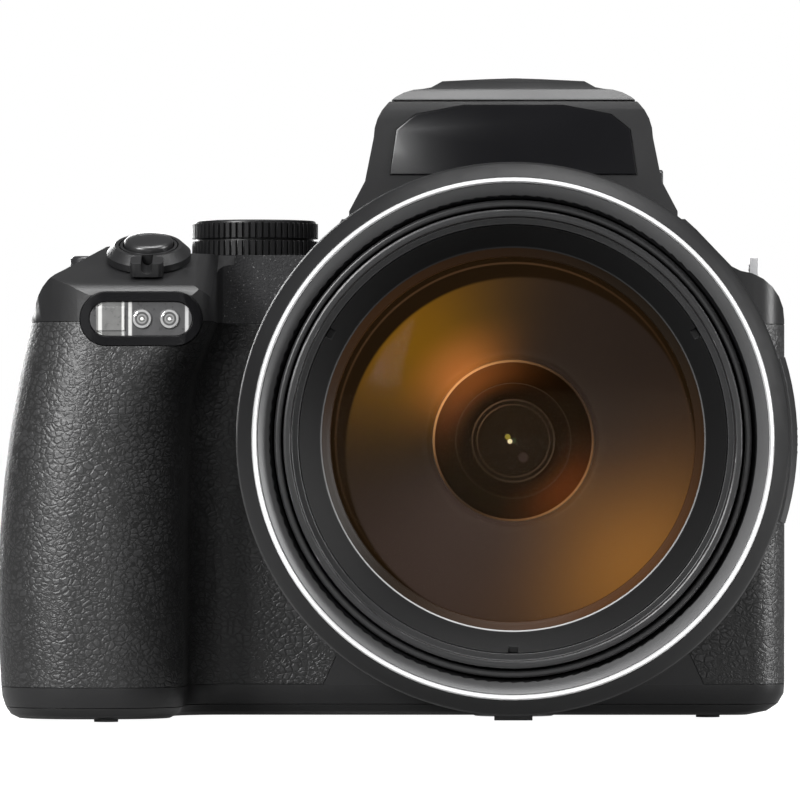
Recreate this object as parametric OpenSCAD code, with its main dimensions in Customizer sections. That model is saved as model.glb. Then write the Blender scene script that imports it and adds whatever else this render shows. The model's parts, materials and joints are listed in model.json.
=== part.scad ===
/* [Body] */
// Distance from the lens axis to the outer side of the grip
grip_reach = 94.2; // [88:0.2:104]
// Distance by which the plain end of the body passes the foot ring of the lens housing
end_margin = 0.2; // [0.1:0.1:6]
// Distance of the flat front face ahead of the tripod socket
face_front = 16; // [14:0.5:20]
// Distance of the back of the body behind the tripod socket
body_back = 33; // [31:0.5:38]
// Place of the seam between the front and rear covers
seam_back = 16; // [14:0.5:18]
// Height of the joint between the covers and the top cover
deck_height = 72.8; // [70:0.2:76]
// Rise of the flat top of the grip deck above that joint
grip_rise = 15.7; // [14:0.1:19]
// Rise of the top plate under the mode dial above that joint
dial_rise = 12.7; // [11:0.1:15]
// Rise of the plain shoulder above that joint
shoulder_rise = 9.8; // [8:0.1:13]
// Width of the hidden seams between fixed pieces
seam = 0.1; // [0.06:0.02:0.2]
// Clearance round pieces that move
run = 0.25; // [0.2:0.05:0.4]

/* [Grip] */
// Distance of the grip nose ahead of the tripod socket
nose_front = 47; // [42:0.5:52]
// Distance from the lens axis to the finger side of the grip
finger_reach = 60; // [58:0.5:64]
// Radius of the outer corner of the nose
nose_outer_r = 14.5; // [10:0.5:15]
// Radius of the finger corner of the nose
nose_inner_r = 14; // [10:0.5:15]
// Radius of the hollow where the fingers meet the front face
hollow_r = 7; // [4:0.5:9]
// Height at which the grip reaches furthest out
belly_height = 22; // [16:1:30]
// Thickness of the rubber skin
skin_t = 0.9; // [0.6:0.1:1.4]
// Height of the lower edge of the skin
skin_foot = 6.3; // [5:0.1:9]

/* [Base] */
// Thickness of the base plate
base_t = 2; // [1.6:0.1:2.6]
// Height of the feet under the base plate
foot_h = 0.5; // [0.3:0.1:0.9]
// Radius of a foot
foot_r = 2.2; // [1.5:0.1:3]
// Radius of the tripod thread at its crests
tripod_r = 2.55; // [2.4:0.05:4.2]
// Depth of the tripod thread
tripod_depth = 6.5; // [5:0.5:7]
// Size of the battery door across, along and through
battery_door_size = [24, 32, 1.7]; // [1:0.1:40]
// Size of the battery across, along and up
battery_size = [15, 29.5, 50]; // [10:0.5:56]

/* [Lens] */
// Clearance of the foot ring of the lens housing above the ground
axis_clear = 1; // [0.6:0.1:4]
// Distance of the lens front ahead of the tripod socket
lens_front = 129; // [124:0.5:140]
// Step from the lens housing out to its foot ring
housing_foot_step = 3.8; // [3:0.1:5]
// Thickness of the lens housing round the barrels
housing_wall = 4.9; // [4.4:0.1:6]
// Thickness of the front collar round the barrels
collar_wall = 6.3; // [5.8:0.1:8]
// Distance of the bright trim ring in from the outside of the front collar
trim_in = 3.25; // [2.8:0.05:3.6]
// Length of the front collar
collar_len = 23; // [20:0.5:28]
// Length of the ribbed control ring
control_len = 21; // [16:0.5:26]
// Number of ribs round the control ring
control_ribs = 72; // [48:4:90]
// Step from the front barrel out to the middle barrel
barrel_step = 1.6; // [1.5:0.1:2.2]
// Thickness of the front barrel round the filter thread
front_wall = 1.3; // [1:0.1:1.6]
// Radius of the filter thread
filter_r = 38.1; // [33:0.05:42]
// Depth of the filter thread
filter_depth = 4.5; // [3.5:0.5:6]
// Distance of the plain ring round the front glass in from the filter thread
plain_ring_in = 4.6; // [3.6:0.1:5.6]
// Radius of the opening in the lens cell behind the front glass
cell_hole_r = 14.5; // [12:0.5:17]
// Step from the lens housing out to the pod on its side
pod_step = 4.3; // [3.8:0.1:6]

/* [Hump] */
// Half width of the hump at its foot
hump_half = 30; // [28:0.2:32]
// Half width of the hump under its rounded shoulders
hump_neck = 25.5; // [24:0.1:27]
// Height of the hump above the foot ring of the lens housing
hump_rise = 16.7; // [15:0.1:20]
// Distance of the hump front ahead of the tripod socket
hump_front = 34; // [32:0.5:37]
// Distance of the hump back behind the tripod socket
hump_back = 36; // [34:0.5:40]
// Radius of the hump shoulders
hump_r = 9; // [7:0.5:11]
// Distance of the eyecup back behind the tripod socket
eyecup_back = 52.3; // [48:0.1:56]
// Distance of the eyepiece centre below the top of the hump
eye_drop = 19.7; // [18.5:0.1:22]
// Width of the slot in the accessory shoe
shoe_slot = 18.6; // [18.4:0.1:18.9]

/* [Controls] */
// Radius of the shutter button
shutter_r = 4.5; // [3.8:0.1:5]
// Radius of the zoom lever ring
zoom_ring_r = 7.7; // [7:0.1:8.4]
// Radius of the mode dial
mode_r = 11.8; // [10:0.1:12]
// Height of the mode dial
mode_h = 6.9; // [5.5:0.1:8]
// Radius of the command dial
command_r = 9; // [8:0.1:9.6]
// Radius of the multi selector ring
selector_r = 14; // [12:0.2:15]
// Travel of the small buttons
press = 0.7; // [0.4:0.1:0.9]

/* [Monitor] */
// Size of the monitor across and through
monitor_size = [76, 8]; // [6:0.5:82]
// Distance of the upper edge of the monitor below the joint with the top cover
monitor_gap = 6.3; // [4:0.1:12]
// Radius of the hinge barrel of the monitor
hinge_r = 3.9; // [3.2:0.1:4]

/* [Hidden] */
$fn = 96;

slip = 0.3;
front_r = filter_r + front_wall;
middle_r = front_r + barrel_step;
bore_r = middle_r + slip;
housing_r = bore_r + housing_wall;
housing_foot_r = housing_r + housing_foot_step;
collar_r = bore_r + collar_wall;
trim_r = collar_r - trim_in;
plain_ring_r = filter_r - plain_ring_in;
pod_r = housing_r + pod_step;
axis_height = housing_foot_r + axis_clear;
end_reach = housing_foot_r + end_margin;
grip_mid = -(grip_reach + finger_reach) / 2;
grip_top = deck_height + grip_rise;
dial_deck = deck_height + dial_rise;
shoulder_top = deck_height + shoulder_rise;
hump_top = axis_height + housing_foot_r + hump_rise;
eye_height = hump_top - eye_drop;
cover_foot = foot_h + base_t + seam;
grip_lean = 0.0023;
nose_lean = 0.0012;
lip_start = 52;
lip_out = 5.5;
lip_tight = 8;
end_corner_r = 6;
back_corner_r = 9;
edge_r = 5;
edge_draw = 0.55;
end_draw = 1.5;
wall = 3;
far = 200;

// Points along an arc from angle a0 to angle a1
function arc(cx, cy, r, a0, a1, n) =
  [for (i = [0:n]) let (a = a0 + (a1 - a0) * i / n) [cx + r * cos(a), cy + r * sin(a)]];

// Draw-in of the outline close to the base, where the lower edge is rounded
function foot_in(z) =
  z >= foot_h + edge_r ? 0 : edge_draw * (edge_r - sqrt(edge_r * edge_r - pow(edge_r + foot_h - z, 2)));

// Outer side of the grip and front of its nose at a height, both as plain coordinates
function grip_x(z) = -grip_reach + grip_lean * pow(z - belly_height, 2);
function nose_y(z) = -nose_front + nose_lean * pow(z - belly_height, 2);

// Plain end of the body at a height, rounded more than the rest at its lower edge
function end_x(z) = end_reach - end_draw * foot_in(z);

// Near its top the finger side swells into a lip with a tighter corner
function lip(z) = pow(max(0, min(1, (z - lip_start) / (deck_height - lip_start))), 2);
function finger_x(z) = -finger_reach + lip_out * lip(z);
function finger_r(z) = nose_inner_r - lip_tight * lip(z);

// Outline of the front cover at a height, drawn in by e, from the seam round the nose to the end
function front_ring(z, e, back) =
  let (d = e + foot_in(z), x0 = grip_x(z), y0 = nose_y(z))
  concat(
    [[x0 + d, back]],
    arc(x0 + nose_outer_r, y0 + nose_outer_r, nose_outer_r - d, 180, 270, 8),
    arc(finger_x(z) - finger_r(z), y0 + finger_r(z), finger_r(z) - d, 270, 360, 8),
    arc(finger_x(z) + hollow_r, -face_front - hollow_r, hollow_r + d, 180, 90, 6),
    arc(end_x(z) - end_corner_r, -face_front + end_corner_r, end_corner_r - d, -90, 0, 5),
    [[end_x(z) - d, back]]
  );

// Outline of the rear cover at a height, drawn in by e
function rear_ring(z, e, front) =
  let (d = e + foot_in(z), x0 = grip_x(z))
  concat(
    [[x0 + d, front], [end_x(z) - d, front]],
    arc(end_x(z) - end_corner_r, body_back - end_corner_r, end_corner_r - d, 0, 90, 5),
    arc(x0 + back_corner_r, body_back - back_corner_r, back_corner_r - d, 90, 180, 6)
  );

// Outline of the whole body at a height, drawn in by e
function body_ring(z, e) =
  let (f = front_ring(z, e, seam_back), r = rear_ring(z, e, seam_back))
  concat([for (i = [0:len(f) - 2]) f[i]], [for (i = [2:len(r) - 1]) r[i]]);

function lift(ring, z) = [for (p = ring) [p[0], p[1], z]];

// Solid through a stack of rings with equal numbers of points, whose first point sees all the others
module loft(rings) {
  n = len(rings[0]);
  m = len(rings);
  sides = [
    for (j = [0:m - 2]) for (i = [0:n - 1]) let (k = (i + 1) % n)
      each [[j * n + i, (j + 1) * n + i, (j + 1) * n + k], [j * n + i, (j + 1) * n + k, j * n + k]]
  ];
  top = (m - 1) * n;
  foot = [for (i = [1:n - 2]) [0, i, i + 1]];
  head = [for (i = [1:n - 2]) [top, top + i + 1, top + i]];
  polyhedron([for (r = rings) each r], concat(foot, head, sides), convexity = 8);
}

// Box from its lowest to its highest corner
module block(a, b) {
  translate(a) cube(b - a);
}

// Plate in the XY plane with round corners
module round_plate(size, r) {
  linear_extrude(size[2]) {
    translate([r, 0]) square([size[0] - 2 * r, size[1]]);
    translate([0, r]) square([size[0], size[1] - 2 * r]);
    for (x = [r, size[0] - r]) for (y = [r, size[1] - r]) translate([x, y]) circle(r);
  }
}

// Places for pieces that face the lens side, the back and the plain end
module on_axis() {
  translate([0, 0, axis_height]) rotate([90, 0, 0]) children();
}
module facing_back(x, y, z) {
  translate([x, y, z]) rotate([-90, 0, 0]) children();
}
module facing_end(x, y, z) {
  translate([x, y, z]) rotate([0, 90, 0]) children();
}

// Turned ring from a list of radius and height pairs
module turned(points) {
  rotate_extrude() polygon(points);
}

// Round cap with a softened rim, standing up from z = 0
module cap(r, h, soft) {
  turned([[0, 0], [r, 0], [r, h - soft], [r - 0.3 * soft, h - 0.3 * soft], [r - soft, h], [0, h]]);
}

// Gear-like outline of a knurled edge
module knurl(r, depth, n) {
  polygon([
    for (i = [0:n - 1]) let (s = 360 / n)
      each [
        [r * cos(i * s - 0.3 * s), r * sin(i * s - 0.3 * s)],
        [r * cos(i * s + 0.3 * s), r * sin(i * s + 0.3 * s)],
        [(r - depth) * cos(i * s + 0.45 * s), (r - depth) * sin(i * s + 0.45 * s)],
        [(r - depth) * cos(i * s + 0.55 * s), (r - depth) * sin(i * s + 0.55 * s)]
      ]
  ]);
}

// Places that several pieces share
deck_slope = 0.4;
shutter_tilt = atan(deck_slope);
nose_top = nose_y(deck_height);
nose_roll_r = 5.2;
nose_roll_rise = 2.6;
slope_y = nose_top + 4.2;
slope_z = deck_height + 7.9;
shutter_x = grip_mid + 10.4;
shutter_y = -31;
shutter_z = slope_z + deck_slope * (shutter_y - slope_y);
collar_outer = zoom_ring_r - 2.45;
mode_x = -48.4;
mode_y = 5;
command_x = -grip_reach + 23.2;
command_y = body_back - 8;
command_z = deck_height + 6;
flash_y = 5.5;
flash_split = hump_top - 4.6;
shoe_y = 9;
shoe_foot = hump_top - 3.1;
battery_x = grip_mid + 3.1;
battery_y = -20;
lamp_x = grip_mid + 9.5;
lamp_z = deck_height + 0.4;
lamp_out = 0.4;
lamp_front = -nose_top + lamp_out;
hinge_x = end_reach - 5.2;
hinge_arm = 4.1;
monitor_start = hinge_x - hinge_arm - monitor_size[0];
hinge_y = body_back - monitor_size[1] / 2;
monitor_foot = 6.5;
monitor_h = deck_height - monitor_foot - monitor_gap;
door_y = -6;
door_size = [1.8, 19, 36];
door_foot = 24;
under_skin = skin_t + seam;
step_in = 0.06;
housing_start = face_front + seam;
housing_end = lens_front - collar_len;
neck_r = housing_r - 2;
control_start = housing_end - control_len;

card_gap = 2;
card_size = [2.6, 22, 32];
card_place = [battery_x - battery_size[0] / 2 - 5.1, battery_y - 7, cover_foot];
bush_r = 5;
flange_r = 7.5;
latch_size = [8, 5, 0.7];
latch_travel = 3;
foot_in_from_back = 7;
feet = [
  [battery_x, nose_y(0) + 5.1], [battery_x, body_back - foot_in_from_back],
  [end_reach - 14.2, -face_front + foot_in_from_back], [end_reach - 10.2, body_back - foot_in_from_back]
];
lamp_half = 6.2;
lamp_r = 4.9;
lamp_depth = 4.5;
lamp_rim = 1.7;
lamp_sunk = 1.6;
lamp_glass = 1;
lamp_proud = 0.3;
lamp_lens_x = [0.2, 5.2];
lamp_lens_r = 1.8;
diffuser = [8.1, 5.2, 4.3];
pin_r = 1.2;
ring_seat = 1.8;
ring_soft = 0.6;
selector_x = grip_mid + 17.1;
selector_z = deck_height / 2 - 0.4;
ok_r = 5;
rear_r = 2.6;
rear_buttons = [
  [selector_x + 16, deck_height - 16.8, rear_r], [selector_x - 16, deck_height - 14.8, rear_r],
  [selector_x + 13, selector_z - 22, rear_r], [selector_x - 13, selector_z - 22, rear_r]
];
upper_buttons = [[selector_x + 2, deck_height + 4.6, 3], [-33, deck_height + 6.2, 2.4]];
top_buttons = [[grip_mid + 9.1, -7, 3.6, grip_top - 0.7], [-grip_reach + 14.7, -12, 2.6, grip_top - 4.1]];
focus_x = -45;
focus_z = deck_height + 5.8;
focus_r = 5.2;
ae_r = 2.6;
spindle_r = 3;
spindle_h = 4;
command_h = 4;
zoom_ring_h = 3;
lug_t = 1.6;
eyelet_w = 9;
eyelet_h = 7;
rear_tube_r = 17;

// Front and side views of the top deck
crown_r = 9.2;
crown_rise = 1.1;
crown_in = 0.8;
crown_lip = 0.3;
knee = [14.6, 1.7];
shoulder_r = 9;
flare = [1.8, 6.8];
function deck_front_view() = concat(
  [[grip_x(deck_height) - crown_lip, deck_height]],
  arc(grip_x(deck_height) + crown_in + crown_r, deck_height + crown_rise, crown_r, 175, 115, 6),
  [
    [mode_x - mode_r - knee[0], grip_top - knee[1]], [mode_x - mode_r - 3, grip_top],
    [mode_x - mode_r - 1, dial_deck], [mode_x + mode_r + 0.8, dial_deck],
    [-hump_half - flare[0], dial_deck + flare[1]], [hump_half + flare[0], dial_deck + flare[1]],
    [end_reach - shoulder_r - 0.9, shoulder_top + 0.8]
  ],
  arc(end_reach - shoulder_r, shoulder_top - shoulder_r, shoulder_r, 85, 0, 6),
  [[end_reach, deck_height]]
);
function deck_side_view() = concat(
  [[nose_top - 1, deck_height]],
  arc(nose_top + nose_roll_r, deck_height + nose_roll_rise, nose_roll_r, 180, 120, 5),
  [
    [slope_y, slope_z], [slope_y + (dial_deck + 7 - slope_z) / deck_slope, dial_deck + 7],
    [body_back - 4, dial_deck + 7]
  ],
  arc(body_back - 4, dial_deck - 3, 4, 60, 0, 4),
  [[body_back, deck_height]]
);

// Front and side views of the hump, with a raised strip along its middle
hump_waist = hump_top - 19.2;
hump_strip = [15, 13];
strip_drop = [2.2, 1.9, 0.7];
function hump_half_view(s) = concat(
  [
    [s * hump_half, dial_deck - 1], [s * hump_half, min(dial_deck + 7.5, hump_waist - 1)],
    [s * (hump_neck + 1.6), hump_waist]
  ],
  [
    for (p = arc(hump_neck - hump_r, hump_top - strip_drop[0] - hump_r, hump_r, 0, 90, 8))
      [s * p[0], p[1]]
  ],
  [[s * hump_strip[0], hump_top - strip_drop[1]], [s * hump_strip[1], hump_top - strip_drop[2]]]
);
function hump_front_view() = let (b = hump_half_view(-1))
  concat(hump_half_view(1), [[0, hump_top]], [for (i = [len(b) - 1:-1:0]) b[i]]);
function hump_side_view() = concat(
  [[-hump_front, dial_deck - 1]],
  arc(-hump_front + 8, hump_top - 8, 8, 180, 90, 6),
  [[hump_back - 12, hump_top], [hump_back, hump_top - 5], [hump_back, dial_deck - 1]]
);

// Solids between the front and side views
module seen_from_front(points) {
  translate([0, far / 2, 0]) rotate([90, 0, 0]) linear_extrude(far) polygon(points);
}
module seen_from_side(points) {
  translate([-far / 2, 0, 0]) rotate([90, 0, 90]) linear_extrude(far) polygon(points);
}
module hump_form() {
  intersection() {
    seen_from_front(hump_front_view());
    seen_from_side(hump_side_view());
  }
}

// Outside of the lens housing, grown by g
module lens_envelope(g) {
  on_axis() turned([
    [0, face_front - 1], [housing_foot_r + g, face_front - 1],
    [housing_foot_r + g, face_front + foot_taper[0] + g],
    [housing_r + g, face_front + foot_taper[1] + g], [housing_r + g, housing_end], [0, housing_end]
  ]);
}

// Flat stadium in the front view, facing forward from its back at y
module lamp_pill(half, r, y, depth) {
  translate([lamp_x, y, lamp_z]) rotate([90, 0, 0]) linear_extrude(depth) {
    square([2 * half, 2 * r], center = true);
    for (s = [-1, 1]) translate([s * half, 0]) circle(r);
  }
}

// Trapezoid under the lens where the front face is bare, grown by g
module chin(g, depth) {
  translate([0, -face_front + depth, 0]) rotate([90, 0, 0]) linear_extrude(depth + g) polygon([
    [-35.5 - g, skin_foot - 1], [35.5 + g, skin_foot - 1], [32.5 + g, 11.8 + g], [-32.5 - g, 11.8 + g]
  ]);
}

module shutter_frame() {
  translate([shutter_x, shutter_y, shutter_z]) rotate([shutter_tilt, 0, 0]) children();
}

// Waste that is cut off where the sloping deck rolls over to the finger side of the nose
deck_corner_r = 5.5;
deck_corner_len = 34;
module deck_corner() {
  x1 = finger_x(deck_height) - shutter_x;
  roll = arc(x1 - deck_corner_r, -deck_corner_r, deck_corner_r, 84, 6, 7);
  shutter_frame() translate([0, deck_corner_len / 2, 0]) rotate([90, 0, 0])
    linear_extrude(deck_corner_len) polygon(concat(
      roll, [[x1 + wall, -deck_corner_r], [x1 + wall, wall], [x1 - deck_corner_r, wall]]
    ));
}

// Heights at which the lofted covers change shape
cover_steps = 7;
function steps_between(a, b) = [for (i = [0:cover_steps]) a + (b - a) * i / cover_steps];

// Button that slides in a round well: its cap stands out, and its stem stays in the well
stem_depth = 2.4;
module push_button(r, out, soft) {
  translate([0, 0, -stem_depth]) cap(r, stem_depth + out, soft);
}
module push_well(r) {
  translate([0, 0, -stem_depth - press - 2 * run]) cylinder(r = r + run, h = far);
}

module front_cover() {
  low = [cover_foot, (cover_foot + skin_foot) / 2, skin_foot - seam];
  high = steps_between(skin_foot, deck_height - seam);
  pocket = [battery_size[0] + 4 * run, battery_size[1] + 4 * run, battery_size[2] + 4 * run];
  color("#1d1d1f") difference() {
    union() {
      loft([for (z = low) lift(front_ring(z, 0, seam_back - step_in), z)]);
      loft(concat(
        [lift(front_ring(skin_foot, under_skin, seam_back), low[1])],
        [for (i = [1:cover_steps]) lift(front_ring(high[i], under_skin, seam_back), high[i])]
      ));
      translate([0, step_in, 0]) chin(0, under_skin + 1);
    }
    on_axis() translate([0, 0, face_front - 2 * wall]) cylinder(r = rear_tube_r, h = far);
    block(
      [-finger_reach + 8, -face_front + wall, cover_foot + 6],
      [end_reach - 6.2, seam_back + 1, deck_height - wall]
    );
    translate([battery_x - pocket[0] / 2, battery_y - pocket[1] / 2, 0]) cube(pocket + [0, 0, cover_foot]);
    translate(card_place - [run, run, 2]) cube(card_size + [2 * run, 2 * run, 2 + run]);
    cylinder(r = bush_r + seam, h = cover_foot + tripod_depth);
    connector_room();
    lamp_pill(lamp_half, lamp_r + seam, -lamp_front + lamp_depth + seam, far);
  }
}

// Rubber skin all round the front cover, before it is parted
module skin_shell() {
  zs = steps_between(skin_foot, deck_height - seam);
  past = 1;
  difference() {
    loft([for (z = zs) lift(front_ring(z, 0, seam_back - seam), z)]);
    loft(concat(
      [lift(front_ring(zs[0], skin_t, seam_back + past), zs[0] - past)],
      [for (z = zs) lift(front_ring(z, skin_t, seam_back + past), z)],
      [lift(front_ring(zs[cover_steps], skin_t, seam_back + past), zs[cover_steps] + past)]
    ));
    lens_envelope(seam);
    chin(seam, under_skin + 1);
    lamp_pill(lamp_half, lamp_r + seam, -lamp_front + lamp_depth, far);
  }
}

module grip_skin() {
  color("#2a2a2c") intersection() {
    skin_shell();
    block([-far, -far, 0], [0, far, far]);
  }
}

module side_skin() {
  color("#2a2a2c") difference() {
    intersection() {
      skin_shell();
      block([0, -far, 0], [far, far, far]);
    }
    connector_room();
  }
}

// Opening for the connector door, with the space in which its hinge edge turns
connector_depth = door_size[0] + 2.2;
port_deep = 1.4;
port_places = [[8.5, 5.5, 3, 9], [8.5, 18.5, 4.6, 11.5]];
module connector_room() {
  block(
    [end_reach - door_size[0] - seam - run, door_y - 2 * run - seam, door_foot - run],
    [end_reach + 1, door_y + door_size[1] + run, door_foot + door_size[2] + run]
  );
  block(
    [end_reach - connector_depth, door_y + 4, door_foot + 3],
    [end_reach, door_y + door_size[1] - 2, door_foot + door_size[2] - 3]
  );
  port_floor = end_reach - connector_depth - port_deep;
  for (p = port_places) translate([port_floor, door_y + p[0], door_foot + p[1]]) cube([far, p[2], p[3]]);
}

// Recess for the monitor, open towards the plain end
module monitor_room() {
  x0 = monitor_start - run;
  block(
    [x0, body_back - monitor_size[1] - 2 * run, monitor_foot - run],
    [end_reach + 1, body_back + 1, monitor_foot + monitor_h + run]
  );
}

// Lug that carries one end of the monitor hinge
lug_h = 3.5;
lug_play = 0.2;
module hinge_lug(z) {
  r = hinge_r - lug_play;
  difference() {
    translate([hinge_x, hinge_y, z]) linear_extrude(lug_h) {
      circle(r);
      translate([-r, body_back - hinge_y - monitor_size[1] - 1]) square([2 * r, hinge_r + 1]);
    }
    translate([hinge_x, hinge_y, z - 1]) cylinder(r = pin_r + seam, h = lug_h + 2);
  }
}

// Raised pad for the thumb, in two steps
thumb_size = [17, 7.5];
thumb_out = [0.8, 1.5];
thumb_soft = 0.7;
module thumb_rest() {
  x = selector_x - thumb_size[0] / 2;
  z = deck_height - thumb_size[1] - 2.4;
  for (i = [0, 1]) let (soft = i * thumb_soft)
    translate([x + soft, body_back + thumb_out[i], z + soft]) rotate([90, 0, 0])
      round_plate([thumb_size[0] - 2 * soft, thumb_size[1] - 2 * soft, wall], 3);
}

module rear_cover() {
  low = [cover_foot, (cover_foot + skin_foot) / 2];
  zs = concat(low, steps_between(skin_foot, deck_height - seam));
  color("#1f1f21") union() {
    difference() {
      union() {
        loft([for (z = zs) lift(rear_ring(z, 0, seam_back + seam), z)]);
        thumb_rest();
      }
      monitor_room();
      for (b = rear_buttons) facing_back(b[0], body_back, b[1]) push_well(b[2]);
      facing_back(selector_x, body_back, selector_z) {
        translate([0, 0, -ring_seat]) cylinder(r = selector_r + run, h = far);
        push_well(ok_r);
      }
    }
    hinge_lug(monitor_foot);
    hinge_lug(monitor_foot + monitor_h - lug_h);
  }
}

// Sunk heads of the screws that hold the base plate
screw_r = 1.6;
screw_deep = 0.8;
screw_places = [
  [battery_x + 17, body_back - 8], [end_reach - 20, body_back - 8],
  [-26, 6 - face_front], [28, 6 - face_front]
];
module base_plate() {
  door = battery_door_size;
  zs = [foot_h, foot_h + base_t * 0.35, foot_h + base_t];
  color("#18181a") difference() {
    union() {
      loft([for (z = zs) lift(body_ring(z, 0), z)]);
      for (p = feet) translate([p[0], p[1], 0]) cylinder(r = foot_r, h = foot_h + base_t / 2);
    }
    translate([0, 0, -1]) cylinder(r = flange_r + seam, h = far);
    for (p = screw_places) translate([p[0], p[1], -1]) cylinder(r = screw_r, h = 1 + foot_h + screw_deep);
    translate([battery_x - card_gap - door[0] / 2 - run, battery_y - door[1] / 2 - run, -1])
      cube([door[0] + 2 * run, door[1] + 2 * run + door[2] / 2, far]);
  }
}

module tripod_bush() {
  color("#b9bbbe") difference() {
    union() {
      cylinder(r = flange_r, h = foot_h + base_t);
      cylinder(r = bush_r, h = tripod_depth + 1);
    }
    translate([0, 0, -1]) cylinder(r = tripod_r, h = tripod_depth + 1);
  }
}

door_edge = 1.5;
grip_lines = 3;
grip_line = 0.4;
module battery_door() {
  door = battery_door_size;
  color("#18181a") translate([battery_x - card_gap, battery_y, foot_h]) difference() {
    union() {
      translate([-door[0] / 2, -door[1] / 2, 0]) cube(door);
      facing_end(-door[0] / 2, door[1] / 2, door[2] / 2) cylinder(r = door[2] / 2, h = door[0]);
    }
    translate([-latch_size[0] / 2 - run, -door[1] / 2 + door_edge, -1])
      cube([latch_size[0] + 2 * run, latch_size[1] + latch_travel + 2 * run, 1 + latch_size[2] + seam]);
  }
}

module battery_latch() {
  y0 = battery_y - battery_door_size[1] / 2 + door_edge + run;
  color("#2c2c2e") translate([battery_x - card_gap, y0, foot_h]) difference() {
    translate([-latch_size[0] / 2, 0, 0]) cube(latch_size);
    for (i = [1:grip_lines])
      translate([-latch_size[0], (i * latch_size[1] - grip_line * 2) / (grip_lines + 1), -1])
        cube([far, grip_line, 1 + grip_line / 2]);
  }
}

module connector_door() {
  color("#1f1f21") translate([end_reach - door_size[0] - seam, door_y, door_foot]) {
    translate([0, door_size[0] / 2, 0]) cube([door_size[0], door_size[1] - door_size[0] / 2, door_size[2]]);
    translate([door_size[0] / 2, door_size[0] / 2, 0]) cylinder(r = door_size[0] / 2, h = door_size[2]);
  }
}

module top_cover() {
  color("#222224") difference() {
    union() {
      difference() {
        intersection() {
          translate([0, 0, deck_height]) linear_extrude(far) polygon(body_ring(deck_height, 0));
          seen_from_front(deck_front_view());
          seen_from_side(deck_side_view());
        }
        deck_corner();
      }
      hump_form();
      eyepiece_block();
      shutter_frame() translate([0, 0, -wall]) cylinder(r = collar_outer, h = wall + zoom_ring_h);
    }
    lens_envelope(seam);
    flash_room();
    hot_shoe_room();
    eyepiece_bore();
    shutter_frame() translate([0, 0, -6]) cylinder(r = shutter_r + run, h = far);
    for (b = top_buttons) translate([b[0], b[1], b[3]]) push_well(b[2]);
    for (b = upper_buttons) facing_back(b[0], body_back, b[1]) push_well(b[2]);
    facing_back(focus_x, body_back, focus_z) {
      translate([0, 0, -ring_seat]) cylinder(r = focus_r + run, h = far);
      push_well(ae_r);
    }
    translate([mode_x, mode_y, dial_deck - spindle_h]) cylinder(r = spindle_r + run, h = far);
    translate([command_x, command_y, command_z]) cylinder(r = command_r + run, h = command_h + 2 * run);
    lamp_pill(lamp_half, lamp_r + seam, -lamp_front + lamp_depth + seam, far);
    nameplate_form(seam);
    flash_button_room();
    diopter_room();
    eyelet_places() eyelet_blank(seam);
  }
}

// Room for the flash head, its well and the edge that it turns on
flash_hinge_r = (hump_top - flash_split - run) / 2;
flash_axis = [flash_y - seam - flash_hinge_r, flash_split + run + flash_hinge_r];
flash_box = [37, 28, 10.6];
flash_front = flash_y - 3.5 - flash_box[1];
module flash_room() {
  block([-far, -far, flash_split], [far, flash_y + seam, far]);
  block(
    [-flash_box[0] / 2 - 2 * run, flash_front - 5, flash_split - flash_box[2] - 2 * run],
    [flash_box[0] / 2 + 2 * run, flash_y - 3, far]
  );
}

// Lid of the flash head, with the round back edge that it turns on
module flash_lid() {
  intersection() {
    hump_form();
    union() {
      block([-far, -far, flash_split + run], [far, flash_axis[0], far]);
      facing_end(-far / 2, flash_axis[0], flash_axis[1]) cylinder(r = flash_hinge_r, h = far);
    }
  }
}

// Microphone slots on both sides of the middle
mic_slot = [0.7, 4, 0.9];
mic_x = [5, 6.6, 8.2];
mic_back = 12;
module flash_head() {
  color("#1b1b1d") union() {
    difference() {
      flash_lid();
      for (s = [-1, 1]) for (x = mic_x)
        translate([s * x - mic_slot[0] / 2, mic_back - hump_front, hump_top - mic_slot[2]])
          cube([mic_slot[0], mic_slot[1], far]);
    }
    block(
      [-flash_box[0] / 2, flash_front, flash_split - flash_box[2]],
      [flash_box[0] / 2, flash_front + flash_box[1], flash_split + 2 * run]
    );
  }
}

flash_glass = [30, 8, 0.9];
flash_glass_foot = 1;
module flash_window() {
  color("#e6e8ea")
    translate([-flash_glass[0] / 2, flash_front - seam, flash_split - flash_box[2] + flash_glass_foot])
      rotate([90, 0, 0]) round_plate(flash_glass, 1);
}

// Bare plate on the hump front, grown by g
plate_half = [[22.5, 18], [21.3, 9.8], [17.8, 7], [9, 5.3]];
plate_t = 1.3;
module nameplate_form(g) {
  right = [for (i = [0:3]) let (p = plate_half[i]) [p[0] + g, hump_top - p[1] + (i > 0 ? g : -g)]];
  outline = concat(right, [for (i = [3:-1:0]) [-right[i][0], right[i][1]]]);
  translate([0, -hump_front + 1 + g, 0]) rotate([90, 0, 0])
    linear_extrude(plate_t + (g > 0 ? far : 0)) polygon(outline);
}

module nameplate() {
  color("#0b0b0c") nameplate_form(0);
}

flash_button_size = [2.4, 8, 3.8];
flash_button_place = [hump_neck - 0.4, -25, flash_split - 16];
module flash_button_room() {
  translate(flash_button_place - [press + run, run, run]) cube(flash_button_size + [far, 2 * run, 2 * run]);
}

module flash_button() {
  s = flash_button_size;
  color("#19191b") translate(flash_button_place) rotate([90, 0, 90]) round_plate([s[1], s[2], s[0]], 1);
}

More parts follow.
